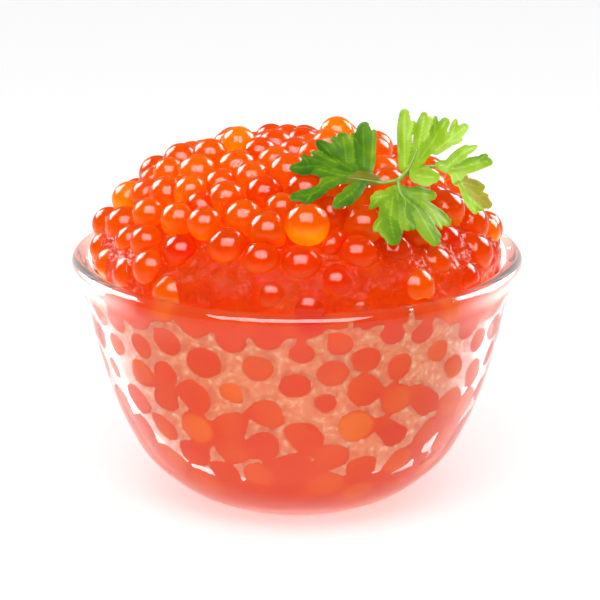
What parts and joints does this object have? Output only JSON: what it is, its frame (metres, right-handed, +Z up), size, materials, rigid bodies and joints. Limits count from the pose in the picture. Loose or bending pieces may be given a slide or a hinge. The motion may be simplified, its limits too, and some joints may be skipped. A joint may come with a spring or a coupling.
{
  "type": "glass bowl of salmon roe",
  "caption": "Small flared glass bowl heaped with glossy orange salmon roe and topped with a sprig of parsley.",
  "frame": {"origin": "the middle of the bowl's flat foot, on the surface that it stands on", "axes": "+Z is up along the bowl's axis; +X is to the right and +Y points away from the pictured side, so the sprig lies at +X and -Y"},
  "size_m": [0.065, 0.065, 0.0588],
  "materials": {
    "glass": "clear, polished, smooth",
    "roe": "wet, glossy, translucent orange eggs",
    "parsley": "fresh green leaf, soft sheen"
  },
  "bodies": {
    "root": {"glass_bowl": "glass", "roe_heap": "roe", "parsley_sprig": "parsley"}
  },
  "joints": []
}
